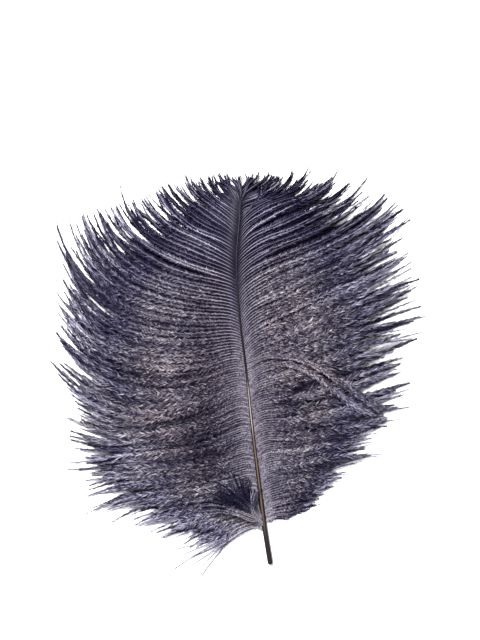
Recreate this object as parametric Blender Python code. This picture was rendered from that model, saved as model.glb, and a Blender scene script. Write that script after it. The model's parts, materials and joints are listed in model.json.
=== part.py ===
"""An ostrich feather, lying on a table with its hollow side down.

One grown piece: a bare quill that runs on into a long tapering shaft, and the
vane, whose barbs hang together in pointed locks. The locks leave the shaft on
both sides, arch over and come down on the table with their tips.

The quill's end points to -Y and the feather's head to +Y. +X is the vane's
narrower side. The table is the plane z = 0.
"""

import math

import bmesh
import bpy
import numpy as np

MM = 0.001

# ---- the shaft ---------------------------------------------------------------------
SHAFT_LENGTH = 199.0 * MM         # from the quill's end to the shaft's tip
QUILL_RADIUS = 1.4 * MM           # the bare quill is the thickest part
QUILL_LEVEL = 34.0 * MM           # the quill lies flat along this much of its length
SHAFT_TIP_RADIUS = 0.22 * MM
SHAFT_ARCH = 9.5 * MM             # how far the shaft lifts off the table
ARCH_AT = 0.70 * SHAFT_LENGTH     # where along the shaft it is highest
TIP_HEIGHT = 4.0 * MM             # the height that it comes down to again
SHAFT_RINGS = 13                  # cross-sections from the quill to the tip
SHAFT_SIDES = 8
QUILL_REST = QUILL_RADIUS * math.cos(math.pi / SHAFT_SIDES)   # its flat lies on the table

# The shaft's gentle bow: how far it lies to the side at each distance from the quill's end.
BOW_AT = np.array((0, 20, 44, 73, 103, 133, 159, 182, 199)) * MM
BOW_SIDE = np.array((0, -1.6, -2.7, -4.0, -4.8, -6.1, -5.5, -2.1, 0)) * MM

# ---- the vane's locks --------------------------------------------------------------
LOCKS_PER_SIDE = 30
LOCK_RINGS = 7                    # cross-sections along a lock
LOCK_HALF_WIDTH = 4.5 * MM        # at the widest, over the middle of a full-length lock
FULL_LENGTH = 60.0 * MM           # a lock shorter than this is narrower too
LOCK_THINNESS = 0.21              # thickness over width
ROOT_SHARE = 0.30                 # width at the shaft, as a share of the widest
WIDEST_AT = 0.40                  # where along the lock it is widest
TAPER_OVER = 0.45                 # the last part of the lock, which narrows to a point
POINT_SHARE = 0.05
HIGHEST_ARCH = 8.0 * MM           # how far the upper locks arch above the line to their tips
LOWEST_ARCH = -3.5 * MM           # how far the lower ones sag below it, to fill the space beneath
TIP_REST = 0.25 * MM              # the height of a lock's tip over the table
UNEVEN_REACH = 0.05               # how much a lock may fall short of its neighbours
UNEVEN_WIDTH = 0.25               # how much narrower the narrowest lock is
GOLDEN = 0.6180339887             # a step that never repeats, for the uneven locks of a real vane

# The middle of the feather's outline, which stands over the frame's origin.
MIDDLE = (-9.2 * MM, 102.4 * MM)

# How the barbs flow on each side. At each distance along the shaft: how far out to
# the side and how far up the feather the barb's tip lies (in mm), and the slant at
# which it leaves the shaft and ends (0 is straight out, 90 towards the feather's head).
#         root   tip out  tip up  leaves  ends
NARROW_SIDE = (
    (23, 23, 27, 8, 14),
    (30, 37, 38, 12, 12),
    (40, 49, 50, 12, 6),
    (52, 60, 61, 8, 2),
    (66, 70, 74, 6, 4),
    (82, 79, 96, 14, 6),
    (97, 84, 121, 22, 8),
    (113, 87, 147, 32, 14),
    (128, 86, 168, 38, 20),
    (144, 82, 184, 44, 24),
    (162, 67, 194, 50, 28),
    (178, 43, 200, 58, 36),
    (190, 16, 203, 70, 60),
    (195, 6, 204, 78, 76),
)
WIDE_SIDE = (
    (21, 43, 6, -6, -34),
    (31, 68, 21, -12, -24),
    (44, 85, 36, -14, -16),
    (60, 95, 51, -15, -6),
    (78, 100, 71, -15, 14),
    (93, 103, 99, -14, 40),
    (106, 105, 130, -10, 56),
    (117, 105, 157, -2, 63),
    (128, 99, 179, 8, 65),
    (140, 86, 194, 18, 65),
    (154, 67, 201, 32, 63),
    (169, 43, 204, 48, 62),
    (184, 18, 205, 64, 70),
    (195, 6, 205, 78, 80),
)
ROOT_LEAD = 0.28                  # how far a lock keeps the slant that it leaves with
TIP_LEAD = 0.45                   # and how early it takes on the slant that it ends with


def smooth_through(at, values, x):
    """A smooth curve through the values at their places, read at x."""
    slope = np.gradient(values, at)
    i = int(np.clip(np.searchsorted(at, x) - 1, 0, len(at) - 2))
    step = at[i + 1] - at[i]
    t = (x - at[i]) / step
    return (
        values[i] * (1 + 2 * t) * (1 - t) ** 2
        + values[i + 1] * t * t * (3 - 2 * t)
        + step * t * (1 - t) * (slope[i] * (1 - t) - slope[i + 1] * t)
    )


def shaft_radius(y):
    """As thick as the quill at first, then an even taper to the tip."""
    share = (y - QUILL_LEVEL) / (SHAFT_LENGTH - QUILL_LEVEL)
    return QUILL_RADIUS + (SHAFT_TIP_RADIUS - QUILL_RADIUS) * share**0.85


def shaft_height(y):
    """The centre line's height: level along the quill, an arch, and down again to the tip."""
    if y <= QUILL_LEVEL:
        return QUILL_REST
    if y <= ARCH_AT:
        t = (y - QUILL_LEVEL) / (ARCH_AT - QUILL_LEVEL)
        return QUILL_REST + (SHAFT_ARCH - QUILL_REST) * t * t * (3 - 2 * t)
    t = (y - ARCH_AT) / (SHAFT_LENGTH - ARCH_AT)
    return SHAFT_ARCH + (TIP_HEIGHT - SHAFT_ARCH) * t * t


def shaft_point(y):
    """The shaft's centre at a distance from the quill's end."""
    return np.array((smooth_through(BOW_AT, BOW_SIDE, y), y, shaft_height(y)))


def heading(side, slant):
    """A unit step outwards on one side, slanted towards the feather's head."""
    angle = math.radians(slant)
    return np.array((side * math.cos(angle), math.sin(angle)))


def lock_path(side, flow, root, reach_share, arch):
    """The centre points of the lock that leaves the shaft at root, from there to its tip."""
    flow = np.array(flow)
    out, up, leaves, ends = (smooth_through(flow[:, 0] * MM, flow[:, k], root) for k in (1, 2, 3, 4))
    start = shaft_point(root)
    tip = start[:2] + (np.array((side * out, up)) * MM - start[:2]) * reach_share
    far = math.dist(start[:2], tip)
    bend_out = start[:2] + ROOT_LEAD * far * heading(side, leaves)
    bend_in = tip - TIP_LEAD * far * heading(side, ends)
    corners = (start[:2], bend_out, bend_in, tip)
    path = []
    for s in np.linspace(0.0, 1.0, LOCK_RINGS + 1):
        weights = ((1 - s) ** 3, 3 * s * (1 - s) ** 2, 3 * s * s * (1 - s), s**3)
        x, y = sum(weight * corner for weight, corner in zip(weights, corners))
        path.append((x, y, start[2] * (1 - s) + TIP_REST * s + arch * 4 * s * (1 - s)))
    return path


def above_table(path, widths):
    """The same path, lifted wherever the lock would otherwise dip into the table."""
    return [(x, y, max(z, TIP_REST + LOCK_THINNESS * width)) for (x, y, z), width in zip(path, widths)]


def lock_widths(full):
    """Narrow at the shaft, full over the middle and drawn out to a point."""
    widths = []
    for s in np.linspace(0.0, 1.0, LOCK_RINGS + 1):
        swell = ROOT_SHARE + (1 - ROOT_SHARE) * math.sin(0.5 * math.pi * min(1.0, s / WIDEST_AT))
        taper = max(POINT_SHARE, min(1.0, (1 - s) / TAPER_OVER)) ** 0.8
        widths.append(full * swell * taper)
    return widths


def clear_scene():
    for obj in list(bpy.data.objects):
        bpy.data.objects.remove(obj, do_unlink=True)


def new_collection(name):
    collection = bpy.data.collections.new(name)
    bpy.context.scene.collection.children.link(collection)
    return collection


def cross_section(name, corners, collection):
    """A closed outline that a swept curve takes as its section."""
    curve = bpy.data.curves.new(name, "CURVE")
    curve.fill_mode = "NONE"
    spline = curve.splines.new("POLY")
    spline.points.add(len(corners) - 1)
    for point, (x, y) in zip(spline.points, corners):
        point.co = (x, y, 0, 1)
    spline.use_cyclic_u = True
    guide = bpy.data.objects.new(name, curve)
    guide.hide_render = True
    guide.display_type = "WIRE"
    collection.objects.link(guide)
    return guide


def swept(name, path, sizes, section, collection):
    """A closed solid: the section swept along the path, to the size stated at each point."""
    curve = bpy.data.curves.new(name, "CURVE")
    curve.dimensions = "3D"
    curve.twist_mode = "Z_UP"
    curve.bevel_mode = "OBJECT"
    curve.bevel_object = section
    curve.use_fill_caps = True
    spline = curve.splines.new("POLY")
    spline.points.add(len(path) - 1)
    for point, (x, y, z), size in zip(spline.points, path, sizes):
        point.co = (x - MIDDLE[0], y - MIDDLE[1], z, 1)
        point.radius = size
    guide = bpy.data.objects.new(name + "_path", curve)
    collection.objects.link(guide)
    evaluated = guide.evaluated_get(bpy.context.evaluated_depsgraph_get())
    mesh = bpy.data.meshes.new_from_object(evaluated)
    solid = bpy.data.objects.new(name, mesh)
    solid.matrix_world = guide.matrix_world
    collection.objects.link(solid)
    bpy.data.objects.remove(guide, do_unlink=True)

    work = bmesh.new()
    work.from_mesh(mesh)
    bmesh.ops.remove_doubles(work, verts=work.verts, dist=0.001 * MM)
    bmesh.ops.triangulate(work, faces=work.faces)
    bmesh.ops.recalc_face_normals(work, faces=work.faces)
    work.to_mesh(mesh)
    work.free()
    return solid


def build_shaft(section, collection):
    """The quill with its rounded end, and the shaft that it runs on into."""
    rounded_end = ((0.0, 0.45), (0.25, 0.78), (0.8, 1.0))
    path = [shaft_point(along * QUILL_RADIUS) for along, _ in rounded_end]
    sizes = [share * QUILL_RADIUS for _, share in rounded_end]
    for y in np.linspace(QUILL_LEVEL, SHAFT_LENGTH, SHAFT_RINGS):
        path.append(shaft_point(y))
        sizes.append(shaft_radius(y))
    return swept("feather", path, sizes, section, collection)


def build_locks(section, collection):
    """The vane's locks on both sides, each a little unlike its neighbours."""
    for side, flow in ((1, NARROW_SIDE), (-1, WIDE_SIDE)):
        roots = np.linspace(flow[0][0] * MM, flow[-1][0] * MM, LOCKS_PER_SIDE)
        for k, root in enumerate(roots):
            layer = (k * GOLDEN + 0.25 * side) % 1.0
            arch = LOWEST_ARCH + (HIGHEST_ARCH - LOWEST_ARCH) * layer
            reach_share = 1.0 - UNEVEN_REACH * ((k * GOLDEN * 1.7) % 1.0)
            path = lock_path(side, flow, root, reach_share, arch)
            full = LOCK_HALF_WIDTH * min(1.0, math.dist(path[0], path[-1]) / FULL_LENGTH) ** 0.5
            full *= 1.0 - UNEVEN_WIDTH * ((k * GOLDEN * 2.3) % 1.0)
            widths = lock_widths(full)
            lock = swept(f"lock_{side}_{k}", above_table(path, widths), widths, section, collection)
            lock.hide_render = True
            lock.display_type = "WIRE"


def feather_material():
    """Black-dyed keratin: dark, with a soft grey-violet bloom."""
    material = bpy.data.materials.new("dyed_keratin")
    material.use_nodes = True
    shader = material.node_tree.nodes["Principled BSDF"]
    shader.inputs["Base Color"].default_value = (0.045, 0.042, 0.062, 1)
    shader.inputs["Roughness"].default_value = 0.6
    shader.inputs["Metallic"].default_value = 0.0
    return material


def main():
    clear_scene()
    feather = new_collection("ostrich_feather")
    sections = new_collection("sections")
    locks = new_collection("locks")

    turns = [2 * math.pi * (k + 0.5) / SHAFT_SIDES for k in range(SHAFT_SIDES)]
    round_outline = [(math.cos(turn), math.sin(turn)) for turn in turns]
    thin = LOCK_THINNESS
    flat_outline = ((1, 0), (0.5, thin), (-0.5, thin), (-1, 0), (-0.5, -thin), (0.5, -thin))

    shaft = build_shaft(cross_section("shaft_section", round_outline, sections), feather)
    build_locks(cross_section("lock_section", flat_outline, sections), locks)
    grown = shaft.modifiers.new("grown_together", "BOOLEAN")
    grown.operation = "UNION"
    grown.operand_type = "COLLECTION"
    grown.collection = locks
    grown.solver = "EXACT"
    shaft.data.materials.append(feather_material())


main()
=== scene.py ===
import json
import math

import bmesh
import bpy
import numpy as np
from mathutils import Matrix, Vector

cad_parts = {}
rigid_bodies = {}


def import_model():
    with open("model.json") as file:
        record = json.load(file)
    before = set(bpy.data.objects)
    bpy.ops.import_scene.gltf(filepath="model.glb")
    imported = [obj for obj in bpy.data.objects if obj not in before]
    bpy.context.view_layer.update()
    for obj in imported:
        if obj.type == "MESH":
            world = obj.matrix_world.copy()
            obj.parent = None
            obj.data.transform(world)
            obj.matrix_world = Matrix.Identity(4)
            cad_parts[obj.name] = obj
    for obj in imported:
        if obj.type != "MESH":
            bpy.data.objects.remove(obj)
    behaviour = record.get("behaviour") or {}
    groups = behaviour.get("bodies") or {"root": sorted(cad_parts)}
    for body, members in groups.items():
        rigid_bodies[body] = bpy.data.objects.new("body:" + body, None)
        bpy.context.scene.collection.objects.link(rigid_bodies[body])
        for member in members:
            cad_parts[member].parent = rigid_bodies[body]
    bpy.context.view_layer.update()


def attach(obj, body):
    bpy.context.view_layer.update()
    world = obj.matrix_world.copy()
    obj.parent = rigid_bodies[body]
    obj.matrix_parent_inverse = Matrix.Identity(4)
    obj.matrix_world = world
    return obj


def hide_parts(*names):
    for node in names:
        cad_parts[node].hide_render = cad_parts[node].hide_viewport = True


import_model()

MM = 0.001

# ---- the shaft's measures, as in the CAD --------------------------------------------
MIDDLE = np.array((-9.2, 102.4)) * MM      # the frame's origin, from the quill's end
SHAFT_LENGTH = 199.0 * MM
QUILL_RADIUS = 1.4 * MM
QUILL_LEVEL = 34.0 * MM                    # the quill lies level along this much of its length
SHAFT_TIP_RADIUS = 0.22 * MM
SHAFT_ARCH = 9.5 * MM
ARCH_AT = 0.70 * SHAFT_LENGTH
TIP_HEIGHT = 4.0 * MM
BOW_AT = np.array((0, 20, 44, 73, 103, 133, 159, 182, 199)) * MM
BOW_SIDE = np.array((0, -1.6, -2.7, -4.0, -4.8, -6.1, -5.5, -2.1, 0)) * MM
SHAFT_TAPER = 0.5                          # it slims early, a little more than the solid does

# ---- the flow of the barbs -----------------------------------------------------------
# At each distance along the shaft: how far out and how far up a barb's tip lies (in mm),
# and the slant at which it leaves the shaft and ends (0 is straight out, 90 to the head).
# Towards the head they fan further round than the solid's locks, to the same rim.
#         root   tip out  tip up  leaves  ends
NARROW_SIDE = np.array((
    (23, 23, 27, 8, 14),
    (30, 37, 38, 12, 12),
    (40, 49, 50, 12, 6),
    (52, 60, 61, 8, 2),
    (66, 70, 74, 6, 6),
    (82, 79, 98, 14, 10),
    (97, 84, 126, 23, 15),
    (113, 87, 153, 33, 24),
    (128, 85, 174, 40, 34),
    (144, 78, 188, 47, 41),
    (162, 60, 197, 54, 46),
    (178, 37, 202, 62, 52),
    (190, 15, 204, 72, 66),
    (197, 4, 205, 80, 80),
))
WIDE_SIDE = np.array((
    (21, 43, 6, -6, -34),
    (31, 68, 21, -12, -24),
    (44, 85, 36, -14, -16),
    (60, 95, 53, -14, -4),
    (78, 101, 77, -14, 20),
    (93, 104, 108, -13, 46),
    (106, 105, 141, -10, 61),
    (117, 103, 166, -2, 69),
    (128, 95, 185, 9, 72),
    (140, 81, 196, 20, 73),
    (154, 62, 202, 34, 72),
    (169, 39, 204, 50, 72),
    (184, 17, 205, 65, 75),
    (197, 4, 205, 80, 82),
))
ROOT_LEAD = 0.28                           # how far a barb keeps the slant that it leaves with
TIP_LEAD = 0.45                            # and how early it takes on the slant that it ends with

# ---- the barbs -----------------------------------------------------------------------
UPPER_BARBS, LOWER_BARBS = 130, 134        # on each side
BARB_POINTS = 31
FIRST_RISE = 2.6 * MM                      # a barb starts steeply and rises this far at first
BEND_OVER = 8.0 * MM                       # and bends over at this distance from the shaft
RAMUS_RADIUS = 0.15 * MM                   # the ramus is a barb's own stem
HIGHEST_ARCH = 7.5 * MM
LOWEST_ARCH = -2.5 * MM
LOCK_BARBS = (2, 5)                        # the fewest and the most barbs that hang together
FOLD_DEPTH = 3.0 * MM                      # how deep the hollow under the folded strands is
BARBULE_LENGTH = 2.8 * MM
BARBULE_WIDTH = 0.42 * MM                  # a tuft that clings together: single ones are too fine to show
BARBULE_SPACING = 0.16 * MM
WEB_DROP = 1.0 * MM                        # how far below its barb the closed web lies
TABLE_CLEARANCE = 0.15 * MM

# ---- where handling has bent the vane ------------------------------------------------
# Each strand: its root on the shaft, its way from there (in mm from the quill's end), how
# many barbs it has, how wide it is, how far it fans out, how far it arches, and how high it ends.
FOLDED = (
    (99.5, ((7, 104), (17, 104), (28, 98.5), (39, 89), (50, 79.5), (60, 73)), 5, 1.0, 0.9, 4.5, 5.8),
    (105.5, ((7, 108.5), (18, 107.5), (31, 101.8), (44, 92), (56, 82), (68, 73)), 5, 1.0, 0.9, 4.7, 5.8),
)
CURLED = (
    (26.0, ((-5, 29), (-8.5, 34), (-10, 41), (-9.5, 48)), 5, 0.5, 3.0, 3.5, 5.5),
    (25.0, ((-6, 28.5), (-11, 35), (-15.5, 42), (-20, 48)), 6, 0.7, 4.0, 4.0, 5.5),
    (24.0, ((-6, 27.5), (-13, 34), (-20.5, 40), (-29, 43)), 7, 0.8, 4.0, 4.0, 5.5),
    (23.0, ((-7, 26), (-15, 31.5), (-25, 36), (-36, 37)), 7, 0.8, 4.5, 4.0, 5.0),
)
LIFTED = (
    (22.5, ((-5.0, 25), (-7.2, 30), (-7.0, 36), (-5.0, 42)), 5, 1.1, 2.0, 3.5, 4.5),
    (22.0, ((-7, 25), (-15, 29.5), (-24, 32.5), (-34, 32.5)), 6, 1.6, 4.0, 5.0, 6.0),
)
TRAILING = (
    (19.5, ((-8, 19.8), (-20.7, 14.2), (-30, 8), (-40, 1)), 4, 0.8, 5.0, 0.5, 1.0),
    (20.5, ((-10, 20.5), (-24, 15.5), (-38, 11), (-52, 6)), 3, 0.8, 4.0, 0.5, 1.0),
)
CROWN = (
    (189.5, ((-2.5, 194), (-7, 200), (-10, 204.5)), 5, 0.3, 4.0, 1.0, 2.0),
    (191.5, ((-0.5, 196), (-1.5, 201), (-2.5, 205)), 4, 0.3, 3.0, 1.0, 2.0),
    (190.5, ((1.8, 195), (4.2, 200.5), (6.0, 204.5)), 5, 0.3, 4.0, 1.0, 2.0),
    (182.0, ((4.5, 187), (9.5, 192), (12.5, 199)), 4, 0.3, 4.0, 1.5, 2.5),
)
# The strands' names, guides, how much lighter and how fluffy they are, where along them
# their rim starts, and the seed of their chances.
STRANDS = (
    ("folded", FOLDED, 0.10, 0.55, 0.66, 71),
    ("curled", CURLED, -0.38, 0.35, 0.50, 72),
    ("lifted", LIFTED, -0.02, 0.30, 0.60, 74),
    ("crown", CROWN, -0.04, 0.50, 0.80, 73),
    ("trailing", TRAILING, 0.25, 0.30, 0.40, 75),
)
# Hollows in the frame, lowered and darkened with painted shade: the middle, half length and half width (in
# mm), and how deep and how dark.
HOLLOWS = ((31.8, -11.6, 5.0, 2.0, 1.0), (22.5, -17.5, 4.5, 1.5, 0.6))

# ---- the tone and the fluff ----------------------------------------------------------
# Darker and lighter patches in the frame: the middle, the half sizes (in mm), and how much.
PATCHES = (
    (-26, -38, 17, 20, -0.15), (-20, -45, 13, 38, -0.11), (-16, 0, 12, 40, -0.14),
    (-3, 75, 8, 20, -0.06), (-32, -84, 32, 16, 0.30), (-56, -40, 15, 32, 0.16),
    (-40, 5, 14, 14, -0.07), (6, -70, 12, 20, 0.05), (48, 66, 16, 18, 0.07),
    (24, 14, 18, 14, -0.12), (31, -24, 13, 20, -0.17), (22, -62, 12, 12, -0.13),
    (60, -24, 13, 26, 0.14), (86, 0, 20, 50, 0.04), (-34, -20, 14, 10, -0.10),
    (-14, 38, 9, 18, -0.09), (74, 60, 20, 18, 0.12),
)
# How far the leaf that stands for a tuft of barbules bends sideways and droops, in its lengths.
BLADES = (("blade_a", 0.7, 0.1), ("blade_b", -0.7, 0.1), ("blade_c", 0.3, -0.12), ("blade_d", 0, 0.25))
# What differs from tuft to tuft by chance: the salt of its seed, the least and the most.
CHANCES = (
    ("spread", 11, -0.5, 0.5), ("lift", 21, -0.5, 0.5), ("roll", 31, -0.7, 0.7),
    ("length", 41, 0.5, 1.2), ("tone", 61, -0.95, 1.15), ("width", 71, 0.5, 1.3),
)

# ---- how the picture was taken -------------------------------------------------------
PIXEL = 0.524 * MM                         # what one pixel of the picture shows of the table
PICTURE_HEIGHT = 640                       # in pixels
PICTURE_MIDDLE = (3.2 * MM, 26.3 * MM)     # the place on the table under the camera
CAMERA_HEIGHT = 0.62
LEAN = math.radians(4.43)                  # the feather's head leans this far to the left

# the kinds of node that are added most often
MATH, VECTOR_MATH = "ShaderNodeMath", "ShaderNodeVectorMath"
KEEP = "GeometryNodeStoreNamedAttribute"


# ---- small helpers -------------------------------------------------------------------
def paint(code):
    """An sRGB hex colour as linear red, green, blue and alpha."""
    channels = [int(code[k:k + 2], 16) / 255 for k in (1, 3, 5)]
    linear = [c / 12.92 if c <= 0.04045 else ((c + 0.055) / 1.055) ** 2.4 for c in channels]
    return (*linear, 1.0)


def add(tree, kind, inputs=(), **settings):
    """Adds a node with its settings, and links its inputs, by name or in order, or sets them."""
    node = tree.nodes.new(kind)
    for name, value in settings.items():
        setattr(node, name, value)
    sockets = [s for s in node.inputs if s.enabled]
    given = inputs.items() if isinstance(inputs, dict) else enumerate(inputs)
    for key, value in given:
        socket = sockets[key] if isinstance(key, int) else next(s for s in sockets if s.name == key)
        if isinstance(value, bpy.types.Node):
            value = next(s for s in value.outputs if s.enabled)
        if isinstance(value, bpy.types.NodeSocket):
            tree.links.new(value, socket)
        else:
            socket.default_value = value
    return node


def smooth_through(at, values, x):
    """A smooth curve through the values at their places, read at each x."""
    slope = np.gradient(values, at)
    i = np.clip(np.searchsorted(at, x) - 1, 0, len(at) - 2)
    step = at[i + 1] - at[i]
    t = (x - at[i]) / step
    return (
        values[i] * (1 + 2 * t) * (1 - t) ** 2
        + values[i + 1] * t * t * (3 - 2 * t)
        + step * t * (1 - t) * (slope[i] * (1 - t) - slope[i + 1] * t)
    )


def ease(low, high, x):
    """0 below low, 1 above high, and an even turn between."""
    t = np.clip((x - low) / (high - low), 0, 1)
    return t * t * (3 - 2 * t)


def shaft_radius(y):
    share = np.clip((y - QUILL_LEVEL) / (SHAFT_LENGTH - QUILL_LEVEL), 0, 1)
    return QUILL_RADIUS + (SHAFT_TIP_RADIUS - QUILL_RADIUS) * share**SHAFT_TAPER


def shaft_points(y):
    """The shaft's centre at each distance from the quill's end, in the frame."""
    rise = ease(QUILL_LEVEL, ARCH_AT, y)
    fall = np.clip((y - ARCH_AT) / (SHAFT_LENGTH - ARCH_AT), 0, 1) ** 2
    height = QUILL_RADIUS + (SHAFT_ARCH - QUILL_RADIUS) * rise + (TIP_HEIGHT - SHAFT_ARCH) * fall
    side = smooth_through(BOW_AT, BOW_SIDE, y)
    return np.stack((side - MIDDLE[0], y - MIDDLE[1], height), axis=-1)


def distance_along(courses):
    """How far along its barb each point lies."""
    steps = np.linalg.norm(np.diff(courses, axis=1), axis=2)
    return np.concatenate((np.zeros((len(courses), 1)), steps.cumsum(1)), axis=1)


# ---- the course of the barbs ---------------------------------------------------------
def comb_out(side, flow, roots, reach):
    """The course of each barb from its root to its share of the way to the vane's rim, flat."""
    at = flow[:, 0] * MM
    out, up, leaves, ends = (smooth_through(at, flow[:, k], roots) for k in (1, 2, 3, 4))
    start = shaft_points(roots)[:, :2]
    start[:, 0] += side * 0.8 * shaft_radius(roots)
    tip = np.stack((side * out, up), axis=-1) * MM - MIDDLE
    far = np.linalg.norm(tip - start, axis=1)[:, None]

    def heading(slant):
        angle = np.radians(slant)
        return np.stack((side * np.cos(angle), np.sin(angle)), axis=-1)

    s = np.linspace(0, 1, BARB_POINTS)[None, :, None] ** 1.15 * np.reshape(reach, (-1, 1, 1))
    corners = (start, start + ROOT_LEAD * far * heading(leaves), tip - TIP_LEAD * far * heading(ends), tip)
    a, b, c, d = (p[:, None, :] for p in corners)
    flat = a * (1 - s) ** 3 + 3 * b * s * (1 - s) ** 2 + 3 * c * s * s * (1 - s) + d * s**3
    # right by the shaft a barb slants more, and it soon bends over
    run = s[:, :, 0] * far / BEND_OVER
    rise = FIRST_RISE * np.clip(far / (60 * MM), 0, 1) * (1 - 0.9 * ease(110 * MM, 160 * MM, roots))[:, None]
    flat[:, :, 1] += rise * run * np.exp(1 - run)
    return flat


def gather_locks(count, rng):
    """Which lock each barb hangs in, and where in it (-1 to 1)."""
    lock, place = np.zeros(count, int), np.zeros(count)
    first, number = 0, 0
    while first < count:
        size = min(rng.integers(LOCK_BARBS[0], LOCK_BARBS[1] + 1), count - first)
        lock[first:first + size] = number
        place[first:first + size] = np.linspace(-1, 1, size) if size > 1 else 0
        first, number = first + size, number + 1
    return lock, place, number


def hollow_depth(x, y):
    """How deep a place (in mm) lies in the dark hollow under the folded strands, 0 to 1."""
    depth = 0
    for middle_x, middle_y, long, short, dark in HOLLOWS:
        along = ((x - middle_x) + 0.3 * (y - middle_y)) / long
        across = ((y - middle_y) - 0.3 * (x - middle_x)) / short
        depth = np.maximum(depth, dark * np.exp(-(along**2) - across**2))
    return depth


def grow_barbs(side, flow, seed, count, beneath):
    """The barbs of one side: they leave the shaft evenly and close up into pointed locks."""
    rng = np.random.default_rng(seed)
    # they stand evenly: the upper ones wider apart towards the head, the lower ones closer
    fine = np.linspace(flow[0, 0], flow[-1, 0], 400) * MM
    wider = (-0.45 if beneath else 0.45) * ease(95 * MM, 140 * MM, fine)
    pace = (1 / (1 + wider)).cumsum()
    roots = np.interp((np.arange(count) + 0.5) / count, pace / pace[-1], fine)
    lock, place, locks = gather_locks(count, rng)
    middle = np.array([roots[lock == n].mean() for n in range(locks)])

    # some barbs stay loose and end early: they fill the space between the locks
    loose = rng.random(count) < (1.0 if beneath else 0.5)
    reach = rng.uniform(0.96, 1.07, locks)[lock] * (1 - 0.08 * rng.random(count) - 0.03 * np.abs(place))
    reach *= np.where(loose, rng.uniform(0.92, 1.0, count), 1)
    # above the lowest barbs the vane is a little fuller, and on the narrow side further up
    fuller_to = (112 if side > 0 else 70) * MM
    fuller = ease(25 * MM, 45 * MM, roots) * (1 - ease(fuller_to - 12 * MM, fuller_to + 12 * MM, roots))
    reach *= 1 + 0.05 * fuller
    s = np.linspace(0, 1, BARB_POINTS)
    own = comb_out(side, flow, roots, reach)
    shared = comb_out(side, flow, middle[lock], reach)
    closing = np.where(loose, 0.1, rng.uniform(0.1, 0.6, locks)[lock])
    flat = own + (shared - own) * ease(0.78, 1.0, s)[None, :, None] * closing[:, None, None]

    # towards the rim each lock turns its own way, and halfway up the wide side all turn to the head
    ahead = flat[:, -1] - flat[:, -6]
    sideways = np.stack((-ahead[:, 1], ahead[:, 0]), axis=-1)
    swing = rng.uniform(-0.08, 0.08, locks)[lock] + rng.uniform(-0.17, 0.17, count)
    if side < 0:
        swing -= 0.12 * ease(80 * MM, 105 * MM, roots) * (1 - ease(140 * MM, 165 * MM, roots))
    flat += (sideways * swing[:, None])[:, None, :] * (ease(0.55, 1.3, s) ** 1.5)[None, :, None] * 2.2

    # neighbouring barbs stray together
    stray = np.zeros_like(flat)
    for _ in range(6):
        phase, along, across = rng.uniform(0, 2 * np.pi), rng.uniform(3, 14), rng.uniform(60, 300)
        direction = rng.normal(size=2)
        direction /= np.linalg.norm(direction)
        wave = np.sin(phase + along * s[None, :] + across * roots[:, None])
        stray += (0.5 * MM * wave * s[None, :])[:, :, None] * direction
    # and each barb by itself, most of all towards the head
    own_stray = rng.normal(0, 0.4 * MM, (count, 1, 2)) + rng.normal(0, 0.35 * MM, (locks, 1, 2))[lock]
    own_stray *= 1 + 0.8 * ease(90 * MM, 150 * MM, roots)[:, None, None]
    flat = flat + stray + own_stray * ease(0.05, 0.6, s)[None, :, None]

    # most barbs arch over side by side, and a few hang lower
    layer = 0.62 + rng.uniform(-0.11, 0.11, locks)[lock] + rng.uniform(-0.07, 0.07, count)
    layer = rng.uniform(0.1, 0.4, count) if beneath else layer
    length = np.linalg.norm(np.diff(flat, axis=1), axis=2).sum(1)
    full = np.clip(length / (70 * MM), 0.15, 1)
    arch = (LOWEST_ARCH + (HIGHEST_ARCH - LOWEST_ARCH) * layer) * full
    # towards the head they leave a little below the shaft's middle, so that it shows
    start = shaft_points(roots)[:, 2] + rng.normal(0, 0.12, count) * shaft_radius(roots)
    start -= 0.3 * MM * ease(90 * MM, 140 * MM, roots)
    tip_height = rng.uniform(0.3, 1.2 if beneath else 2.4, count) * MM
    height = (
        start[:, None] * (1 - s)
        + tip_height[:, None] * s
        + arch[:, None] * 4 * s * (1 - s)
        + 0.4 * MM * np.sin(rng.uniform(0, 6.3, locks)[lock][:, None] + 7 * s) * s
    )
    height -= FOLD_DEPTH * hollow_depth(flat[:, :, 0] / MM, flat[:, :, 1] / MM)
    height = np.maximum(height, TABLE_CLEARANCE + RAMUS_RADIUS)
    courses = np.concatenate((flat, height[:, :, None]), axis=2)
    return courses, roots, layer


def lead_barbs(guides, seed):
    """Barbs that leave the common flow: a guide leads each strand, and its outer barbs are noted."""
    rng = np.random.default_rng(seed)
    s = np.linspace(0, 1, BARB_POINTS)
    courses, roots, edges = [], [], []
    for root, way, number, spread, fan, arch, rest in guides:
        for k in np.linspace(-1, 1, number):
            start = (root + 0.5 * (number - 1) * k + rng.normal(0, 0.2)) * MM
            edges.append(abs(k) > 0.9)
            points = np.vstack((shaft_points(np.array([start]))[:, :2], np.array(way) * MM - MIDDLE))
            ahead = np.gradient(points, axis=0)
            ahead /= np.linalg.norm(ahead, axis=1)[:, None]
            aside = np.stack((-ahead[:, 1], ahead[:, 0]), axis=-1)
            share = np.linspace(0, 1, len(points))[:, None]
            shift = (spread * k + rng.normal(0, 0.25 * spread)) * ease(0, 0.3, share)
            points += aside * MM * (shift + fan * k * ease(0.5, 1, share) * share)
            reach = rng.uniform(0.86, 1.0)
            steps = np.concatenate(((0,), np.linalg.norm(np.diff(points, axis=0), axis=1).cumsum()))
            at = s * steps[-1] * reach
            flat = np.stack([smooth_through(steps, points[:, n], at) for n in (0, 1)], axis=-1)
            height = shaft_points(np.array([start]))[0, 2] * (1 - s) + rest * MM * s
            height += (arch + rng.normal(0, 0.5)) * MM * 4 * s * (1 - s)
            courses.append(np.column_stack((flat, height)))
            roots.append(start)
    return np.array(courses), np.array(roots), np.array(edges)


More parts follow.
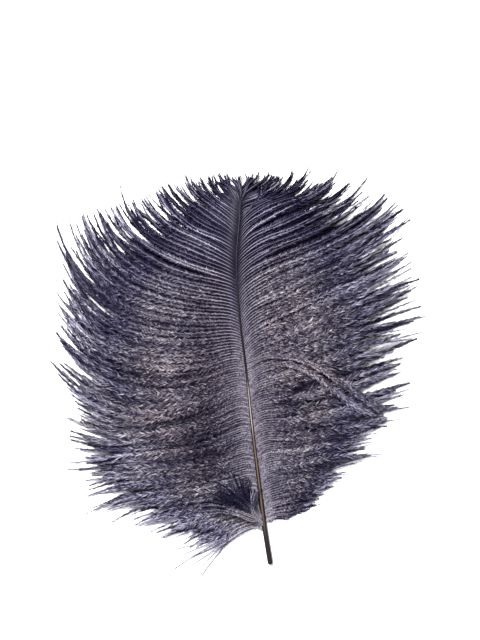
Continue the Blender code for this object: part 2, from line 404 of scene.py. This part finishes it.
# ---- what the barbs are like along their way -----------------------------------------
def dress(courses, roots, layer, seed, beneath, rim_start=0.60):
    """How thick, fluffy, slanted, light, patchy and brownish each barb is along its way."""
    rng = np.random.default_rng(seed)
    s = np.linspace(0, 1, BARB_POINTS)[None, :]
    run = distance_along(courses) / MM
    x, y = courses[:, :, 0] / MM, courses[:, :, 1] / MM

    # from 0 to 1: near the head, close to the shaft, in the down right beside it, and towards
    # the barb's end, where the barbules are long, thin hairs that lie along the barb
    up = ease(90 * MM, 175 * MM, roots)[:, None]
    by_shaft = 1 - ease(5, 22 - 12 * up, run)
    downy = (1 - ease(2.5, 7, run)) * (1 - up)
    rim = ease(rim_start, rim_start + 0.28, s)
    tip = ease(rim_start + 0.22, rim_start + 0.38, s)
    # the lowest barbs end in sparse, pale down
    wispy = (1 - ease(45 * MM, 75 * MM, roots))[:, None] * ease(0.70, 0.95, s)

    # the barbules' length: short by the shaft and at the head, and longest before the tip
    near = 0.26 - 0.12 * up
    fluff = BARBULE_LENGTH * (near + (1 - near) * ease(3, 20, run) + 0.45 * downy)
    fluff *= 1 + 0.2 * ease(0.3, 0.6, s)
    fluff *= 1 - 0.25 * up * (1 - rim)
    fluff *= 1 + 0.5 * rim - 0.6 * tip
    fluff *= (1 - 0.4 * ease(0.94, 1, s)) * (1 - 0.5 * wispy)

    # the space from each barb to its neighbours
    beside, ahead = np.diff(courses[:, :, :2], axis=0), np.gradient(courses[:, :, :2], axis=1)
    ahead /= np.linalg.norm(ahead, axis=2)[:, :, None] + 1e-9
    gap = np.abs(beside[:, :, 0] * ahead[1:, :, 1] - beside[:, :, 1] * ahead[1:, :, 0])
    gap = np.maximum(np.vstack((gap, gap[-1:])), np.vstack((gap[:1], gap)))
    # the barbules slant forwards, and aside as far as it takes to meet the neighbours'
    slant = np.radians(25 - 12 * up - 15 * rim + 5 * tip + 10 * by_shaft + 24 * downy)
    slant = np.maximum(slant, np.arcsin(np.clip(0.5 * gap / fluff, 0, 0.57)) * (1 - rim))

    # barbs differ a little, and more so towards the rim and the head
    own = rng.normal(0, 0.06, (len(courses), 1))
    own = own * (1 - 0.7 * by_shaft + (0.7 + 0.8 * up) * rim + up * (1 - by_shaft))
    light = (
        own
        + 0.02 * by_shaft * (1 - up)
        + 0.10 * downy
        + 0.12 * wispy
        + 0.14 * (layer[:, None] - 0.5)                # painted shade: the ones on top lighter, the lower ones darker
        - 0.25 * up**2                                 # the head is darker,
        - 0.22 * up * (1 - ease(0.5, 4.5, run))        # most of all along the shaft
        - 0.23 * ease(rim_start - 0.15, rim_start + 0.15, s) * (1 - 0.9 * tip)
        # painted shade: darker in the hollows under the folded strands
        - 0.65 * hollow_depth(x, y)
    )
    for middle_x, middle_y, half_x, half_y, amount in PATCHES:
        light += amount * np.exp(-(((x - middle_x) / half_x) ** 2) - ((y - middle_y) / half_y) ** 2)
    # painted shade: the barbs beneath are darker, and more so towards the rim
    if beneath:
        fluff = 1.3 * fluff
        light = light - 0.06 - 0.15 * rim
    # the closed web along each barb is about as wide as the space to its neighbours
    web = np.clip(0.5 * gap, 0.15 * MM, (1.3 if beneath else 1.1) * MM)
    web = web * (1 - 0.97 * ease(0.58, 0.82, s))
    # the dye is browner in soft patches, most of all at the lower left, and bluer at head and rim
    brown = 0.4 * np.exp(-(((y + 5) / 50) ** 2)) - 0.5 * ease(25, 85, y)
    brown += 0.25 * np.exp(-(((x + 50) / 30) ** 2) - ((y + 30) / 26) ** 2) + 0.5 * own
    brown += 0.25 * np.sin(x / 9 + 2 * np.sin(y / 13)) * np.sin(y / 8 + 1.5 * np.sin(x / 11))
    brown -= 0.75 * ease(rim_start - 0.1, rim_start + 0.15, s)
    # how much paler the stem is, and the barbules where they leave it: a painted highlight along the stem,
    # and painted shade on the barbules' ends between the barbs
    stem = 0.60 - 0.18 * ease(8, 30, run) * (1 - up) + 0.22 * up * ease(1, 6, run)
    core = 0.42 - 0.34 * ease(14, 30, run) * (1 - up) + 0.2 * up * ease(8, 25, run)
    return {
        "thick": RAMUS_RADIUS * (1 - 0.55 * s) * (1 + 0.5 * up),
        "web": web,
        "fluff": fluff,
        "slim": 1 - 0.2 * up * (1 - rim) - 0.45 * rim - 0.2 * tip,
        "slant": slant,
        "light": light,
        "stem": stem + 0.42 * rim * (1 - 0.7 * tip),
        "patchy": 1 - 0.5 * by_shaft - 0.25 * downy - 0.3 * up * (1 - by_shaft) + 0.4 * rim,
        "core": core * (1 - 1.3 * rim),
        "brown": 0.45 + brown * (1 - 0.8 * by_shaft),
    }


def barb_lines(name, courses, values, places, spacing):
    """The barbs as lines, with what the barbules need to know at each point."""
    count, points = courses.shape[:2]
    mesh = bpy.data.meshes.new(name)
    corner = np.arange(count * points).reshape(count, points)
    edges = np.stack((corner[:, :-1], corner[:, 1:]), axis=-1).reshape(-1, 2)
    mesh.from_pydata(courses.reshape(-1, 3).tolist(), edges.tolist(), [])
    run = distance_along(courses)
    values = values | {
        "along": run / run[:, -1:],
        "run": run / MM,
        "step": spacing / np.broadcast_to(run[:, -1:], run.shape),
        "number": np.broadcast_to(places[:, None], run.shape),
        "row": np.broadcast_to((np.arange(count)[:, None] + 0.5) / count, run.shape),
        "row_width": np.full(run.shape, 0.47 / count),
    }
    for key, value in values.items():
        layer = mesh.attributes.new(key, "FLOAT", "POINT")
        layer.data.foreach_set("value", np.ascontiguousarray(value, np.float32).ravel())
    lines = bpy.data.objects.new(name, mesh)
    bpy.context.scene.collection.objects.link(lines)
    return lines


# ---- Geometry Nodes: a barb with its barbules ----------------------------------------
def barbule_blade(name, bend, droop):
    """A tuft of barbules, a unit long and wide: a narrow leaf that bends, sinks and ends in a point."""
    mesh = bpy.data.meshes.new(name)
    corners = (
        (0, 0, 0),
        (0.5 + 0.2 * bend, 0.42, -0.25 * droop), (-0.5 + 0.2 * bend, 0.38, -0.25 * droop),
        (bend, 1, -droop),
    )
    mesh.from_pydata(corners, [], [(0, 1, 2), (2, 1, 3)])
    for label, values in (("reach", [p[1] for p in corners]), ("lane", (0, 0.5, -0.5, 0))):
        layer = mesh.attributes.new(label, "FLOAT", "POINT")
        layer.data.foreach_set("value", values)
    return bpy.data.objects.new(name, mesh)


def barbule_tree(name, blades, barb_finish):
    """The tree that gives lines of barbs their stems, their webs and, on both sides, their barbules."""
    tree = bpy.data.node_groups.new(name, "GeometryNodeTree")
    face = tree.interface
    face.new_socket("Barb lines", in_out="INPUT", socket_type="NodeSocketGeometry")
    for label in ("Spacing", "Width", "Spread", "Rise", "Mess", "Contrast"):
        face.new_socket(label, in_out="INPUT", socket_type="NodeSocketFloat")
    face.new_socket("Seed", in_out="INPUT", socket_type="NodeSocketInt")
    face.new_socket("Barbs", in_out="OUTPUT", socket_type="NodeSocketGeometry")
    given = add(tree, "NodeGroupInput")
    put = {s.name: s for s in given.outputs}
    known = {
        label: add(tree, "GeometryNodeInputNamedAttribute", {"Name": label}, data_type="FLOAT")
        for label in (
            "along", "run", "step", "number", "row", "row_width", "thick", "web", "fluff", "slim",
            "slant", "light", "stem", "patchy", "reach", "lane", "side",
        )
    }

    def tufts(along, across, shift):
        """Mostly -1 to 1, and about the same for the barbules of one small tuft along a barb."""
        lane = add(tree, MATH, (known["number"], shift), operation="ADD")
        x = add(tree, MATH, (known["run"], along), operation="DIVIDE")
        y = add(tree, MATH, (lane, across), operation="MULTIPLY")
        place = add(tree, "ShaderNodeCombineXYZ", (x, y, shift))
        wander = add(tree, "ShaderNodeTexNoise", {"Vector": place, "Scale": 1.0, "Detail": 1.0})
        return add(tree, MATH, (wander.outputs["Fac"], 4.0, -2.0), operation="MULTIPLY_ADD")

    curves = add(tree, "GeometryNodeMeshToCurve", {"Mesh": put["Barb lines"]})
    curves = add(tree, "GeometryNodeSetCurveNormal", {"Curve": curves}, mode="Z_UP")

    # the closed web that the barbules' feet make lies under each barb, a little lower; it is darker than the
    # barbules, painted shade that fills the gaps between the barbs
    drop = add(tree, MATH, (known["run"], 6.0), operation="DIVIDE")
    drop = add(tree, MATH, (drop, 1.0), operation="MINIMUM")
    drop = add(tree, MATH, (drop, -WEB_DROP), operation="MULTIPLY")
    drop = add(tree, "ShaderNodeCombineXYZ", {"Z": drop})
    lower = add(tree, "GeometryNodeSetPosition", {"Geometry": curves, "Offset": drop})

    # a three-sided stem and a flat web, each swept along its barb
    rod = add(tree, "GeometryNodeCurvePrimitiveCircle", {"Resolution": 3, "Radius": 1.0}, mode="RADIUS")
    band = add(tree, "GeometryNodeCurvePrimitiveLine", {"Start": (-1, 0, 0), "End": (1, 0, 0)}, mode="POINTS")
    corner = add(tree, "GeometryNodeInputIndex")
    grown = []
    for line, profile, row_share, size, capped, side, paler in (
        (curves, rod, 0.05, "thick", True, 1.0, known["stem"]),
        (lower, band, 0.1, "web", False, -1.0, 0.24),
    ):
        reach = add(tree, MATH, (corner, row_share), operation="MULTIPLY")
        profile = add(
            tree, KEEP, {"Geometry": profile, "Name": "reach", "Value": reach},
            data_type="FLOAT", domain="POINT",
        )
        swept = add(
            tree, "GeometryNodeCurveToMesh",
            {"Curve": line, "Profile Curve": profile, "Scale": known[size], "Fill Caps": capped},
        )
        tone = add(tree, MATH, (known["light"], paler), operation="ADD")
        grown.append((swept, "POINT", side, tone))

    # the barbules, which leave the stem on both sides
    points = add(
        tree, "GeometryNodeCurveToPoints", {"Curve": curves, "Length": put["Spacing"]}, mode="LENGTH"
    )
    tangent = points.outputs["Tangent"]
    across = add(tree, VECTOR_MATH, (tangent, (0, 0, 1)), operation="CROSS_PRODUCT")
    across = add(tree, VECTOR_MATH, (across,), operation="NORMALIZE")
    blade_set = add(tree, "GeometryNodeCollectionInfo", {"Collection": blades, "Separate Children": True})
    for k, side in enumerate((1.0, -1.0)):
        shift = 7.3 * k
        chance = {}
        for label, salt, low, high in CHANCES:
            seed = add(tree, "FunctionNodeIntegerMath", (put["Seed"], salt + k), operation="ADD")
            chance[label] = add(
                tree, "FunctionNodeRandomValue", {"Min": low, "Max": high, "Seed": seed}, data_type="FLOAT"
            )
        clump = tufts(2.6, 1.1, 3.7 + shift)
        spread = add(tree, MATH, (clump, 0.4, chance["spread"]), operation="MULTIPLY_ADD")
        spread = add(tree, MATH, (spread, put["Spread"]), operation="MULTIPLY")
        slant = add(tree, MATH, (spread, known["slim"], known["slant"]), operation="MULTIPLY_ADD")
        forward = add(tree, MATH, (slant,), operation="COSINE")
        forward = add(tree, VECTOR_MATH, {"Vector": tangent, "Scale": forward}, operation="SCALE")
        sideways = add(tree, MATH, (slant,), operation="SINE")
        sideways = add(tree, MATH, (sideways, side), operation="MULTIPLY")
        sideways = add(tree, VECTOR_MATH, {"Vector": across, "Scale": sideways}, operation="SCALE")
        # towards the rim they hang a little, so that the paler stems show
        clump = tufts(2.6, 1.1, 9.2 + shift)
        lift = add(tree, MATH, (clump, 0.7, chance["lift"]), operation="MULTIPLY_ADD")
        lift = add(tree, MATH, (lift, known["slim"]), operation="ADD")
        lift = add(tree, MATH, (lift, 1.0), operation="SUBTRACT")
        lift = add(tree, MATH, (lift, put["Rise"]), operation="MULTIPLY")
        lift = add(tree, "ShaderNodeCombineXYZ", {"Z": lift})
        direction = add(tree, VECTOR_MATH, (forward, sideways), operation="ADD")
        direction = add(tree, VECTOR_MATH, (direction, lift), operation="ADD")
        turn = add(
            tree, "FunctionNodeAlignRotationToVector", {"Factor": 1.0, "Vector": direction}, axis="Y"
        )
        turn = add(
            tree, "FunctionNodeAlignRotationToVector",
            {"Rotation": turn, "Factor": 1.0, "Vector": (0, 0, 1)}, axis="Z", pivot_axis="Y",
        )
        roll = add(tree, "FunctionNodeAxisAngleToRotation", {"Axis": (0, 1, 0), "Angle": chance["roll"]})
        turn = add(
            tree, "FunctionNodeRotateRotation", {"Rotation": turn, "Rotate By": roll},
            rotation_space="LOCAL",
        )
        length = add(tree, MATH, (known["fluff"], chance["length"]), operation="MULTIPLY")
        width = add(tree, MATH, (put["Width"], known["slim"]), operation="MULTIPLY")
        width = add(tree, MATH, (width, chance["width"]), operation="MULTIPLY")
        size = add(tree, "ShaderNodeCombineXYZ", (width, length, length))
        kind = add(
            tree, "FunctionNodeRandomValue", {"Min": 0, "Max": len(BLADES) - 1, "Seed": 51 + k},
            data_type="INT",
        )
        barbules = add(
            tree, "GeometryNodeInstanceOnPoints",
            {
                "Points": points, "Instance": blade_set, "Pick Instance": True,
                "Instance Index": kind, "Rotation": turn, "Scale": size,
            },
        )
        # lighter and darker: by the tuft, by the barbule, and in long streaks
        tuft, streak = tufts(0.9, 2.7, 5.1 + shift), tufts(14.0, 0.3, 15.4)
        tone = add(tree, MATH, (tuft, 0.4, chance["tone"]), operation="MULTIPLY_ADD")
        tone = add(tree, MATH, (streak, 0.2, tone), operation="MULTIPLY_ADD")
        contrast = add(tree, MATH, (known["patchy"], put["Contrast"]), operation="MULTIPLY")
        tone = add(tree, MATH, (tone, contrast, known["light"]), operation="MULTIPLY_ADD")
        tone = add(tree, MATH, (tone, 0.5), operation="ADD")
        grown.append((barbules, "INSTANCE", side, tone))

    # what the map and the material read of each shape
    both, whole = add(tree, "GeometryNodeJoinGeometry"), add(tree, "GeometryNodeJoinGeometry")
    for shape, domain, side, tone in grown:
        for label, value in (("side", side), ("tone", tone)):
            shape = add(
                tree, KEEP, {"Geometry": shape, "Name": label, "Value": value},
                data_type="FLOAT", domain=domain,
            )
        bundle = both if domain == "INSTANCE" else whole
        tree.links.new(shape.outputs[0], bundle.inputs[0])
    barbules = add(tree, "GeometryNodeRealizeInstances", {"Geometry": both})

    # loose barbules are carried off by a coarse and a fine eddy
    for scale, amount in ((350.0, 0.8), (1100.0, 0.35)):
        eddy = add(tree, "ShaderNodeTexNoise", {"Scale": scale, "Detail": 1.0})
        eddy = add(tree, VECTOR_MATH, (eddy.outputs["Color"], (0.5, 0.5, 0.5)), operation="SUBTRACT")
        share = known["reach"]
        for factor in (put["Mess"], known["slim"], known["fluff"], amount):
            share = add(tree, MATH, (share, factor), operation="MULTIPLY")
        drift = add(tree, VECTOR_MATH, {"Vector": eddy, "Scale": share}, operation="SCALE")
        barbules = add(tree, "GeometryNodeSetPosition", {"Geometry": barbules, "Offset": drift})
    tree.links.new(barbules.outputs[0], whole.inputs[0])

    # nothing sinks into the table
    spot = add(tree, "ShaderNodeSeparateXYZ", {"Vector": add(tree, "GeometryNodeInputPosition")})
    height = add(tree, MATH, (spot.outputs["Z"], TABLE_CLEARANCE), operation="MAXIMUM")
    spot = add(tree, "ShaderNodeCombineXYZ", (spot.outputs["X"], spot.outputs["Y"], height))
    whole = add(tree, "GeometryNodeSetPosition", {"Geometry": whole, "Position": spot})

    # the map: along the barb, and one row for each barb with its two sides
    u = add(tree, MATH, (known["lane"], known["step"], 0.005), operation="MULTIPLY_ADD")
    u = add(tree, MATH, (known["along"], 0.99, u), operation="MULTIPLY_ADD")
    v = add(tree, MATH, (known["side"], known["reach"]), operation="MULTIPLY")
    v = add(tree, MATH, (v, known["row_width"], known["row"]), operation="MULTIPLY_ADD")
    spread = add(tree, "ShaderNodeCombineXYZ", {"X": u, "Y": v})
    whole = add(
        tree, KEEP, {"Geometry": whole, "Name": "OFBake", "Value": spread},
        data_type="FLOAT2", domain="CORNER",
    )
    whole = add(tree, "GeometryNodeRealizeInstances", {"Geometry": whole})
    whole = add(tree, "GeometryNodeSetMaterial", {"Geometry": whole, "Material": barb_finish})
    add(tree, "NodeGroupOutput", (whole,))
    return tree


def grow(lines, tree, sizes):
    """Grows the tree's shapes on the lines: a plain mesh with the lines' name, part of the feather."""
    name = lines.name
    growth = lines.modifiers.new("growth", "NODES")
    growth.node_group = tree
    for socket in tree.interface.items_tree:
        if socket.in_out == "INPUT" and socket.name in sizes:
            growth[socket.identifier] = sizes[socket.name]
    bpy.context.view_layer.update()
    evaluated = lines.evaluated_get(bpy.context.evaluated_depsgraph_get())
    mesh = bpy.data.meshes.new_from_object(evaluated)
    bpy.data.objects.remove(lines, do_unlink=True)
    piece = bpy.data.objects.new(name, mesh)
    bpy.context.scene.collection.objects.link(piece)
    print(name, sum(len(p.vertices) - 2 for p in mesh.polygons), "triangles")
    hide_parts("feather")
    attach(piece, "root")


# ---- materials -----------------------------------------------------------------------
def fill_ramp(ramp, stops):
    """Gives a colour ramp its stops: each is a place and a linear colour."""
    elements = ramp.color_ramp.elements
    elements[0].position, elements[0].color = stops[0]
    elements[1].position, elements[1].color = stops[-1]
    for place, colour in stops[1:-1]:
        elements.new(place).color = colour


def barb_material():
    """Dyed barbs: matt grey-violet keratin threads, their sheen a painted highlight in the palest shades."""
    material = bpy.data.materials.new("dyed_barbs")
    material.use_nodes = True
    tree = material.node_tree
    shader = tree.nodes["Principled BSDF"]
    known = {
        label: add(tree, "ShaderNodeAttribute", attribute_name=label).outputs["Fac"]
        for label in ("reach", "core", "tone", "brown")
    }
    # painted highlight along the stem, and painted shade towards the barbules' ends
    bare = add(tree, MATH, (0.4, known["reach"]), operation="SUBTRACT")
    tone = add(tree, MATH, (bare, known["core"], known["tone"]), operation="MULTIPLY_ADD")
    shade = add(tree, "ShaderNodeValToRGB", {"Fac": tone})
    # the palest shades are a painted highlight, the threads' sheen
    shades = ((0.10, "#050313"), (0.40, "#211c2e"), (0.68, "#57525e"), (1.0, "#9a949d"))
    fill_ramp(shade, [(place, paint(code)) for place, code in shades])
    # the dye took unevenly: bluer and browner patches, as shares of red, green and blue
    tint = add(tree, "ShaderNodeValToRGB", {"Fac": known["brown"]})
    fill_ramp(tint, (
        (0.0, (0.88, 0.91, 1.06, 1)), (0.45, (0.96, 0.98, 0.97, 1)), (1.0, (1.01, 0.955, 0.89, 1)),
    ))
    dyed = add(
        tree, "ShaderNodeMix", {"Factor": 1.0, "A": shade.outputs["Color"], "B": tint.outputs["Color"]},
        data_type="RGBA", blend_type="MULTIPLY",
    )
    tree.links.new(dyed.outputs[2], shader.inputs["Base Color"])
    shader.inputs["Roughness"].default_value = 0.5
    shader.inputs["Specular IOR Level"].default_value = 0.06
    return material


def shaft_material():
    """Dyed quill keratin, smooth as it grew: the dye is nearly black but thin along the crest, where a pale
    stretch partway up is a painted highlight.
    """
    material = bpy.data.materials.new("dyed_quill_keratin")
    material.use_nodes = True
    tree = material.node_tree
    shader = tree.nodes["Principled BSDF"]
    ramps = {}
    for label, stops in (
        # along the crest: tan where the dye is thin, and a painted highlight from 0.38 to 0.46
        ("along", (
            (0.0, "#181214"), (0.07, "#201818"), (0.14, "#4c3b31"), (0.34, "#5e4c3f"),
            (0.38, "#8f8479"), (0.46, "#857b71"), (0.49, "#2a2220"), (0.53, "#08060a"),
        )),
        ("crest", ((0.90, "#000000"), (0.99, "#ffffff"))),
    ):
        value = add(tree, "ShaderNodeAttribute", attribute_name=label).outputs["Fac"]
        ramps[label] = add(tree, "ShaderNodeValToRGB", {"Fac": value})
        fill_ramp(ramps[label], [(place, paint(code)) for place, code in stops])
    colour = add(
        tree, "ShaderNodeMix",
        {
            "Factor": ramps["crest"].outputs["Color"],
            "A": paint("#0d0a0e"), "B": ramps["along"].outputs["Color"],
        },
        data_type="RGBA",
    )
    tree.links.new(colour.outputs[2], shader.inputs["Base Color"])
    shader.inputs["Roughness"].default_value = 0.4
    shader.inputs["Specular IOR Level"].default_value = 0.14
    shader.inputs["IOR"].default_value = 1.55
    return material


# ---- the shaft -----------------------------------------------------------------------
def build_shaft(finish):
    """The quill and shaft: round rings on the shaft's course, with a rounded lower end."""
    rings, sides = 120, 16
    nose_at, nose_width = np.array(((0.0, 0.35), (0.1, 0.62), (0.3, 0.85), (0.6, 0.96))).T
    y = np.concatenate((QUILL_RADIUS * nose_at, np.linspace(1.2 * MM, SHAFT_LENGTH, rings)))
    radius = shaft_radius(y)
    radius[:len(nose_at)] *= nose_width
    centre = shaft_points(y)
    forward = np.gradient(centre, axis=0)
    forward /= np.linalg.norm(forward, axis=1)[:, None]
    across = np.cross(forward, (0, 0, 1))
    across /= np.linalg.norm(across, axis=1)[:, None]
    upward = np.cross(across, forward)
    turns = np.linspace(0, 2 * np.pi, sides, endpoint=False)
    work = bmesh.new()
    loops = []
    for k in range(len(y)):
        loop = []
        for turn in turns:
            spot = centre[k] + radius[k] * (math.cos(turn) * across[k] + math.sin(turn) * upward[k])
            loop.append(work.verts.new(spot))
        loops.append(loop)
    for a, b in zip(loops, loops[1:]):
        for j in range(sides):
            work.faces.new((a[j], a[(j + 1) % sides], b[(j + 1) % sides], b[j]))
    work.faces.new(loops[0][::-1])
    work.faces.new(loops[-1])
    bmesh.ops.recalc_face_normals(work, faces=work.faces)
    mesh = bpy.data.meshes.new("shaft")
    work.to_mesh(mesh)
    work.free()
    for label, values in (
        ("along", np.repeat(y / SHAFT_LENGTH, sides)),
        ("crest", np.tile(np.sin(turns), len(y))),
    ):
        layer = mesh.attributes.new(label, "FLOAT", "POINT")
        layer.data.foreach_set("value", values.astype(np.float32))
    mesh.shade_smooth()
    mesh.materials.append(finish)
    piece = bpy.data.objects.new("shaft", mesh)
    bpy.context.scene.collection.objects.link(piece)
    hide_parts("feather")
    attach(piece, "root")


# ---- the vane ------------------------------------------------------------------------
def grow_vane(tree, sizes):
    """Both sides of the vane: an upper layer in three pieces, and a sparser one beneath it."""
    sparse = {"Spacing": 1.8 * BARBULE_SPACING, "Width": 1.6 * BARBULE_WIDTH}
    for side, flow, label, seed in ((1, NARROW_SIDE, "narrow", 3), (-1, WIDE_SIDE, "wide", 8)):
        for beneath in (False, True):
            count = LOWER_BARBS if beneath else UPPER_BARBS
            own = sizes | (sparse if beneath else {})
            courses, roots, layer = grow_barbs(side, flow, seed + beneath, count, beneath)
            dressing = dress(courses, roots, layer, seed + 50, beneath)
            parts = ("beneath",) if beneath else ("low", "middle", "high")
            for part, name in enumerate(parts):
                chosen = np.arange(part * count // len(parts), (part + 1) * count // len(parts))
                values = {key: value[chosen] for key, value in dressing.items()}
                places = chosen + 300.0 * seed
                lines = barb_lines(f"barbs_{label}_{name}", courses[chosen], values, places, own["Spacing"])
                grow(lines, tree, own | {"Seed": 10 * seed + part + 5 * beneath})


def grow_strands(tree, sizes):
    """The strands that have left the vane's flow, each kind a piece of its own."""
    s = np.linspace(0, 1, BARB_POINTS)
    for name, guides, light, fluffy, rim_start, seed in STRANDS:
        courses, roots, edges = lead_barbs(guides, seed)
        values = dress(courses, roots, np.full(len(roots), 0.7), seed, False, rim_start)
        # a strand's outer barbs lie in its own shadow
        values["light"] += light * ease(0.12, 0.35, s)
        values["light"] -= 0.18 * edges[:, None] * ease(0.35, 0.55, s)
        values["fluff"] *= fluffy
        values["web"] = np.full(courses.shape[:2], 0.3 * MM)
        places = np.arange(len(roots)) + 90.0 * seed
        lines = barb_lines(f"barbs_{name}", courses, values, places, sizes["Spacing"])
        grow(lines, tree, sizes | {"Seed": seed})


# ---- the table, the light and the camera ---------------------------------------------
def set_stage():
    """A white card table under soft studio light, the key light from the upper left."""
    bpy.ops.mesh.primitive_plane_add(size=3.0)
    floor = bpy.context.object
    floor.name = "table"
    white = bpy.data.materials.new("white_card")
    white.use_nodes = True
    white.node_tree.nodes["Principled BSDF"].inputs["Base Color"].default_value = paint("#f6f6f7")
    white.node_tree.nodes["Principled BSDF"].inputs["Roughness"].default_value = 0.9
    floor.data.materials.append(white)

    world = bpy.data.worlds.new("soft_light")
    bpy.context.scene.world = world
    world.use_nodes = True
    world.node_tree.nodes["Background"].inputs["Color"].default_value = (1, 1, 1, 1)
    world.node_tree.nodes["Background"].inputs["Strength"].default_value = 0.9

    key = bpy.data.lights.new("softbox", "AREA")
    key.shape = "DISK"
    key.size = 0.4
    key.energy = 42
    lamp = bpy.data.objects.new("softbox", key)
    lamp.location = (-0.35, 0.55, 0.9)
    lamp.rotation_euler = Vector(lamp.location).to_track_quat("Z", "Y").to_euler()
    bpy.context.scene.collection.objects.link(lamp)


def set_camera():
    """Straight above the feather, looking down, as the photo was taken."""
    camera = bpy.data.cameras.new("camera")
    camera.sensor_width = 36.0
    camera.lens = camera.sensor_width * CAMERA_HEIGHT / (PICTURE_HEIGHT * PIXEL)
    holder = bpy.data.objects.new("camera", camera)
    holder.location = (*PICTURE_MIDDLE, CAMERA_HEIGHT)
    holder.rotation_euler = (0, 0, -LEAN)
    bpy.context.scene.collection.objects.link(holder)
    bpy.context.scene.camera = holder


def main():
    bpy.context.scene.view_settings.view_transform = "Standard"
    set_camera()
    set_stage()
    build_shaft(shaft_material())

    blades = bpy.data.collections.new("barbule_blades")
    for name, bend, droop in BLADES:
        blades.objects.link(barbule_blade(name, bend, droop))
    tree = barbule_tree("barbules", blades, barb_material())
    sizes = {
        "Spacing": BARBULE_SPACING, "Width": BARBULE_WIDTH, "Spread": math.radians(27),
        "Rise": 0.4, "Mess": 0.65, "Contrast": 0.39,
    }
    grow_vane(tree, sizes)
    grow_strands(tree, sizes)
    for blade in list(blades.objects):
        bpy.data.objects.remove(blade, do_unlink=True)
    bpy.data.collections.remove(blades)


main()
